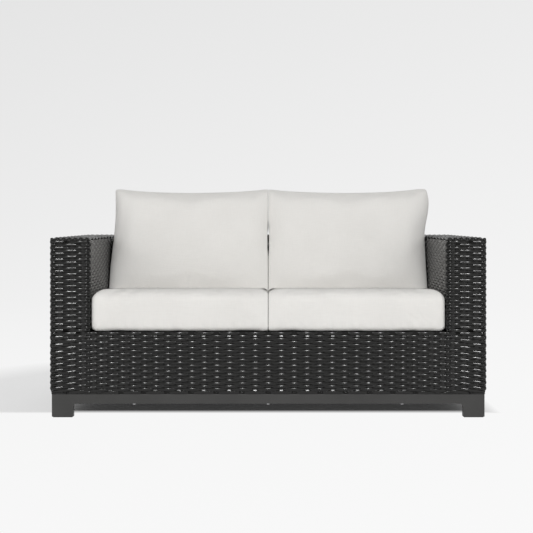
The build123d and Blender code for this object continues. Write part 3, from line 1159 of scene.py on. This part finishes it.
@dataclass
class LooseCushion:
    """One loose cushion: a sewn cover that its filling swells, and the zip in its rear or lower side."""

    side: Side
    pressure: float = 4.0
    swell_limit: float = 0.022
    frames: int = 20
    fill: float = 0.7
    kind: str = ""

    @property
    def name(self) -> str:
        """Name of the cushion as its nodes spell it."""
        return f"{self.side.label}_{self.kind}_cushion"

    def box(self, part: str) -> tuple[Array, Array]:
        """Lowest and highest corner of one of the cushion's nodes."""
        low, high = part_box(f"{self.name}_{part}")
        return np.array(low), np.array(high)

    def swell(self, piece: Piece) -> None:
        """Let the filling press the cover outwards, no further than the limit.

        Args:
            piece: The cover, a little smaller than it ends.
        """
        start = np.empty(len(piece.data.vertices) * 3, np.float32)
        piece.data.vertices.foreach_get("co", start)
        activate(piece)
        bpy.ops.object.modifier_add(type="CLOTH")
        cloth = piece.modifiers[-1]
        for name, value in COVER_CLOTH.items():
            setattr(cloth.settings, name, value)
        cloth.settings.uniform_pressure_force = self.pressure
        cloth.settings.effector_weights.gravity = 0.0
        cloth.point_cache.frame_start = 1
        cloth.point_cache.frame_end = self.frames
        for step in range(1, self.frames + 1):
            bpy.context.scene.frame_set(step)
        bpy.ops.object.modifier_apply(modifier=cloth.name)
        bpy.context.scene.frame_set(1)
        origin = start.reshape(-1, 3).astype(float)

        def hold(points: Array) -> Array:
            step = points - origin
            length = np.linalg.norm(step, axis=1, keepdims=True)
            return origin + step * np.minimum(1.0, self.swell_limit / np.maximum(length, 1e-9))

        move_points(piece, hold)

    def declare(self, piece: Piece, cloth: Material) -> None:
        activate(piece)
        bpy.ops.object.shade_smooth()
        piece.name = self.name
        piece.data.name = piece.name
        dress(piece, cloth)
        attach(piece, self.name)
        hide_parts(f"{self.name}_cover", f"{self.name}_filling")
        report(piece)


@dataclass
class SeatCushion(LooseCushion):
    """Seat cushion: a crowned box, flat where it lies on the deck and against its neighbours."""

    kind: str = "seat"
    swell_limit: float = 0.012
    corner: float = 0.024
    top_edge: float = 0.034
    low_edge: float = 0.018
    fall: float = 0.036
    voxel: float = 0.008
    start_inset: float = 0.002
    crown: float = 0.016
    corner_round: float = 0.016
    arm_press: float = 0.003
    neighbour_press: float = 0.017
    pucker: float = 0.0011
    seam_height: float = 0.018
    seam_spread: float = 0.014
    front_reach: float = 0.05
    front_fade: float = 0.04
    fold_lengths: tuple[float, float] = (0.037, 0.0583)
    second_fold: float = 0.7
    fold_shift: float = 1.3
    zip_margins: tuple[tuple[int, float], ...] = ((0, 0.012), (2, 0.010))
    zip_sink: float = 0.0004

    def start_form(self, low: Array, high: Array) -> Piece:
        """Rounded box, lower than the finished cushion.

        Args:
            low: Lowest corner of the finished cushion.
            high: Highest corner.

        Returns:
            The form, remeshed evenly.
        """
        inset = np.array((self.start_inset, self.start_inset, 0.0))
        low, high = low + inset, high - inset - np.array((0.0, 0.0, self.crown))
        piece = added(
            bpy.ops.mesh.primitive_cube_add, size=1.0, location=tuple((low + high) / 2.0),
            scale=tuple(high - low),
        )
        with editing(piece):
            pick_edges_along(piece, 2)
            bpy.ops.mesh.bevel(offset=self.corner, segments=5, affect="EDGES")
            pick_edges(piece, lambda p: p.z > high[2] - TOUCH)
            bpy.ops.mesh.bevel(offset=self.top_edge, segments=6, affect="EDGES")
            pick_edges(piece, lambda p: p.z < low[2] + TOUCH)
            bpy.ops.mesh.bevel(offset=self.low_edge, segments=4, affect="EDGES")
        middle, length, height = (low[1] + high[1]) / 2.0, high[1] - low[1], high[2] - low[2]

        def fall_back(points: Array) -> Array:
            rise = (points[:, 2] - low[2]) / height
            points[:, 2] -= self.fall * rise * (0.5 + (points[:, 1] - middle) / length)
            return points

        piece.data.remesh_voxel_size = self.voxel
        activate(piece)
        bpy.ops.object.voxel_remesh()
        move_points(piece, fall_back)
        return piece

    def press(self, points: Array) -> Array:
        """Rule that fits the swollen cushion into its place and flattens what touches."""
        low, high = self.box("cover")
        middle, half = (low + high) / 2.0, (high - low) / 2.0
        front = points[:, 1].min()
        ahead = points[:, 1] < middle[1]
        points[ahead, 1] = middle[1] + (points[ahead, 1] - middle[1]) * half[1] / (middle[1] - front)
        top = points[:, 2].max()
        points[:, 2] = low[2] + (points[:, 2] - low[2]) * 2.0 * half[2] / (top - low[2])
        for way in (-1.0, 1.0):
            press = self.arm_press if way == self.side.value else self.neighbour_press
            part = (points[:, 0] - middle[0]) * way > 0.0

            def side_line(depth: Array) -> Array:
                past = np.abs(depth - middle[1]) - half[1] + self.corner_round
                return half[0] + press - rounded_off(past, self.corner_round)

            size = (points[part, 0] - middle[0]) * way
            points[part, 0] = middle[0] + way * follow(size, points[part, 1], side_line)
        return np.clip(points, low, high)

    def detail(self, points: Array) -> Array:
        """Rule for the puckers along the low front seam and the recess round the zip."""
        low, high = self.box("cover")
        turns = (points[:, 0] - low[0]) * 2 * math.pi
        near_seam = np.exp(-(((points[:, 2] - low[2] - self.seam_height) / self.seam_spread) ** 2))
        at_front = ease((low[1] + self.front_reach - points[:, 1]) / self.front_fade)
        first, second = self.fold_lengths
        folds = np.sin(turns / first) + self.second_fold * np.sin(turns / second + self.fold_shift)
        points[:, 1] += self.pucker * folds * near_seam * at_front
        zip_low, zip_high = self.box("zip")
        share = points[:, 1] > (low[1] + high[1]) / 2.0
        for axis, margin in self.zip_margins:
            outside = np.maximum(zip_low[axis] - points[:, axis], points[:, axis] - zip_high[axis])
            share = share * ease((margin - outside) / margin)
        points[:, 1] += share * np.minimum(0.0, zip_low[1] - self.zip_sink - points[:, 1])
        return points

    def build(self, cloth: Material) -> None:
        """Make the cover and put it in place."""
        low, high = self.box("cover")
        piece = self.start_form(low, high)
        self.swell(piece)
        move_points(piece, self.press)
        apply_modifier(piece, "SUBSURF", levels=1, render_levels=1)
        move_points(piece, self.detail)
        self.declare(piece, cloth)


@dataclass
class BackCushion(LooseCushion):
    """Back cushion: two crowned panels sewn together at a knife edge, drawn in between its corners."""

    kind: str = "back"
    swell_limit: float = 0.018
    lean: float = math.radians(13.0)
    length: float = 0.422
    thickness: float = 0.235
    columns: int = 84
    levels: int = 56
    width_power: float = 10.0
    length_power: float = 8.0
    full_share: float = 0.82
    start_share: float = 0.90
    seam_forward: float = 0.060
    seam_turn: float = 0.260
    foot: float = 0.062
    smooth_passes: int = 10
    top_sag: float = 0.017
    corner_lifts: tuple[float, float] = (0.0, 0.0)
    corner_round: float = 0.011
    outer_bulge: tuple[float, float, float] = (0.0, 0.150, 0.150)
    arm_press: float = 0.004
    neighbour_press: float = 0.026
    slit: float = 0.0026
    slit_height: float = -0.012
    slit_reach: float = 0.080
    valley_round: float = 0.020
    seat_fall: float = 0.036
    seat_crown_start: float = 0.096
    seat_clearance: float = 0.004

    def panel(self, facing: int, width: float) -> Piece:
        """One crowned panel, upright at the origin.

        Args:
            facing: -1 for the front, 1 for the rear.
            width: Width of the cushion.

        Returns:
            The panel.
        """
        piece = added(
            bpy.ops.mesh.primitive_grid_add, x_subdivisions=self.columns, y_subdivisions=self.levels,
            size=2.0, rotation=(QUARTER, 0.0, 0.0),
        )

        def crown(points: Array) -> Array:
            u, v = np.sin(points[:, 0] * QUARTER), np.sin(points[:, 2] * QUARTER)
            full = (1.0 - np.abs(u) ** self.width_power) * (1.0 - np.abs(v) ** self.length_power)
            dome = (1.0 - u * u) * (1.0 - v * v)
            depth = self.full_share * np.sqrt(np.maximum(full, 0.0)) + (1.0 - self.full_share) * dome
            points[:, 1] = facing * self.start_share * self.thickness / 2.0 * depth
            points[:, 0] = u * width / 2.0
            points[:, 2] = v * self.length / 2.0
            return points

        move_points(piece, crown)
        return piece

    def start_form(self, width: float) -> Piece:
        """Both panels sewn together."""
        piece = join(self.name, [self.panel(-1, width), self.panel(1, width)])
        with editing(piece, whole=True):
            bpy.ops.mesh.remove_doubles(threshold=TOUCH * 2)
            bpy.ops.mesh.normals_make_consistent(inside=False)
        return piece

    def top_line(self, half_width: float) -> Rule:
        """Height of the top edge over the middle, across the width: it sags between its corners."""

        def line(across: Array) -> Array:
            share = self.side.value * across / half_width
            lift = np.where(share > 0.0, self.corner_lifts[0], self.corner_lifts[1])
            return self.length / 2.0 - self.top_sag * (1.0 - share * share) + lift * np.abs(share) ** 3

        return line

    def side_line(self, half_width: float, way: float) -> Rule:
        """Half width at a height: an arm on the outer side, the other cushion on the inner side."""

        def line(height: Array) -> Array:
            past = height - self.length / 2.0 + self.corner_round
            size = half_width - rounded_off(past, self.corner_round)
            if way == self.side.value:
                bulge, middle, reach = self.outer_bulge
                return size + bulge * ease(1.0 - np.abs(height - middle) / reach)
            return size - self.slit * ease(2.0 - 2.0 * np.abs(height - self.slit_height) / self.slit_reach)

        return line

    def press_side(self, points: Array, half_width: float, way: float) -> None:
        """Fit one side of the cushion to its line and flatten what presses against its neighbour."""
        part = points[:, 0] * way > 0.0
        outline = self.side_line(half_width, way)
        press = self.arm_press if way == self.side.value else self.neighbour_press
        size = follow(points[part, 0] * way, points[part, 2], outline)
        size *= 1.0 + press / half_width
        points[part, 0] = way * np.minimum(size, outline(points[part, 2]))

    def seat_height(self, points: Array) -> Array:
        """Height of the seat cushion's top under each point, with the valley beside its neighbour."""
        seat_low, seat_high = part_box(f"{self.side.label}_seat_cushion_cover")
        slope = self.seat_fall / (seat_high.y - seat_low.y)
        ahead = points[:, 1] - seat_low.y - self.seat_crown_start
        edge = self.valley_round - np.abs(points[:, 0])
        return seat_high.z - self.seat_clearance - slope * ahead - rounded_off(edge, self.valley_round)

    def build(self, cloth: Material) -> None:
        """Make the cover and put it in place."""
        low, high = self.box("cover")
        piece = self.start_form(high[0] - low[0])
        self.swell(piece)
        with editing(piece, whole=True):
            bpy.ops.mesh.vertices_smooth(factor=0.5, repeat=self.smooth_passes)
        middle = (low + high) / 2.0
        half_width = (high[0] - low[0]) / 2.0

        def fit(points: Array) -> Array:
            points[:, 1] *= self.thickness / 2.0 / np.abs(points[:, 1]).max()
            inside = 1.0 - np.abs(points[:, 1]) / (self.thickness / 2.0)
            points[:, 1] -= self.seam_forward * ease(-points[:, 2] / self.seam_turn) * inside
            upper = points[:, 2] > 0.0
            foot = points[:, 2].min()
            points[~upper, 2] *= (self.length / 2.0 + self.foot) / -foot
            points[upper, 2] = follow(points[upper, 2], points[upper, 0], self.top_line(half_width))
            for way in (-1.0, 1.0):
                self.press_side(points, half_width, way)
            return points

        move_points(piece, fit)
        apply_modifier(piece, "SUBSURF", levels=1, render_levels=1)
        settle(piece, Matrix.Translation(tuple(middle)) @ Matrix.Rotation(-self.lean, 4, "X"))

        def rest(points: Array) -> Array:
            points[:, 2] = np.maximum(points[:, 2], self.seat_height(points))
            return points

        move_points(piece, rest)
        self.declare(piece, cloth)


@dataclass
class Cushions:
    """The four loose cushions and their zips."""

    cloth: ClothFinish = field(default_factory=ClothFinish)
    tape: MouldedFinish = MouldedFinish(
        "zip_tape", (0.72, 0.70, 0.66), (0.80, 0.78, 0.74), (0.8, 0.8), 0.0002
    )
    enamel: MouldedFinish = MouldedFinish(
        "zip_enamel", (0.74, 0.72, 0.68), (0.80, 0.78, 0.74), (0.35, 0.35), 0.00002
    )

    def build(self) -> None:
        """Make every cushion and dress its zip."""
        cloth, tape, enamel = self.cloth.material(), self.tape.material(), self.enamel.material()
        lifts = {Side.LEFT: (0.007, 0.008), Side.RIGHT: (0.011, 0.006)}
        bulges = {Side.LEFT: (-0.013, 0.100, 0.260), Side.RIGHT: (0.022, 0.150, 0.150)}
        for side in Side:
            back = BackCushion(side, corner_lifts=lifts[side], outer_bulge=bulges[side])
            for cushion in (SeatCushion(side), back):
                cushion.build(cloth)
                dress(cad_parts[f"{cushion.name}_zip"], tape)
                dress(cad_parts[f"{cushion.name}_zip_slider"], enamel)


# Studio


@dataclass
class Studio:
    """Floor and backdrop, lamps and camera."""

    lens: float = 77.49
    camera_place: Point = (0.0, -4.696, 0.735)
    shift_x: float = -0.0032
    shift_y: float = -0.0872
    floor_size: tuple[float, float] = (24.0, 16.0)
    wall_height: float = 8.0
    bend: float = 3.0
    near: float = 0.1
    surroundings: float = 0.36
    lamps: tuple[tuple[str, Point, Point, tuple[float, float], float], ...] = (
        ("key", (0.08, -9.2, 4.5), (0.0, 0.0, 0.4), (1.05, 0.8), 600.0),
        ("rear_fill", (0.0, 5.2, 3.8), (0.0, 0.0, 0.4), (3.0, 2.0), 80.0),
        ("left_fill", (-3.6, -2.9, 2.0), (0.0, 0.0, 0.5), (1.8, 1.8), 24.0),
        ("right_fill", (3.6, -2.9, 2.0), (0.0, 0.0, 0.5), (1.8, 1.8), 24.0),
    )
    finish: StudioFinish = field(default_factory=StudioFinish)

    def camera(self) -> None:
        """Level camera straight in front, with the photograph's framing."""
        data = bpy.data.cameras.new("camera")
        data.lens = self.lens
        data.sensor_width = 36.0
        data.shift_x, data.shift_y = self.shift_x, self.shift_y
        data.clip_end = 100.0
        obj = bpy.data.objects.new("camera", data)
        obj.location = self.camera_place
        obj.rotation_euler = (QUARTER, 0.0, 0.0)
        bpy.context.scene.collection.objects.link(obj)
        bpy.context.scene.camera = obj

    def lamp(self, name: str, place: Point, target: Point, size: tuple[float, float], power: float) -> None:
        """One soft rectangular lamp.

        Args:
            name: Name of the lamp.
            place: Where it hangs.
            target: What it points at.
            size: Its width and height.
            power: Its power in watts.
        """
        data = bpy.data.lights.new(name, "AREA")
        data.shape = "RECTANGLE"
        data.size, data.size_y = size
        data.energy = power
        obj = bpy.data.objects.new(name, data)
        obj.location = place
        obj.rotation_euler = (Vector(target) - Vector(place)).to_track_quat("-Z", "Y").to_euler()
        bpy.context.scene.collection.objects.link(obj)

    def sweep(self) -> None:
        """Floor that curves up into the backdrop."""
        floor = added(bpy.ops.mesh.primitive_plane_add, size=1.0, location=ORIGIN)
        floor.name = "studio_floor"
        width, depth = self.floor_size
        rear = depth / 2.0 - self.near
        with editing(floor, whole=True):
            bpy.ops.transform.resize(value=(width, depth, 1.0), center_override=ORIGIN)
            pick_edges(floor, lambda p: p.y > rear)
            bpy.ops.mesh.extrude_region_move(TRANSFORM_OT_translate={"value": (0.0, 0.0, self.wall_height)})
            pick_edges(floor, lambda p: p.y > rear and p.z < self.near)
            bpy.ops.mesh.bevel(offset=self.bend, segments=12, affect="EDGES")
        bpy.ops.object.shade_smooth()
        floor.data.materials.append(self.finish.material())

    def world(self) -> None:
        """Even pale surroundings."""
        world = bpy.data.worlds.new("surroundings")
        world.use_nodes = True
        sky = world.node_tree.nodes["Background"]
        sky.inputs["Color"].default_value = (1.0, 1.0, 1.0, 1.0)
        sky.inputs["Strength"].default_value = self.surroundings
        bpy.context.scene.world = world

    def build(self) -> None:
        """Set up floor, lamps, surroundings and camera."""
        self.sweep()
        self.world()
        for lamp in self.lamps:
            self.lamp(*lamp)
        bpy.context.scene.view_settings.view_transform = "Standard"
        self.camera()


def main() -> None:
    """Build every sub-assembly around the frame."""
    logging.basicConfig(level=logging.INFO, format="%(message)s")
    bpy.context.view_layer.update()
    Studio().build()
    MetalFrame().build()
    WovenBody().build()
    Cushions().build()


if __name__ == "__main__":
    main()
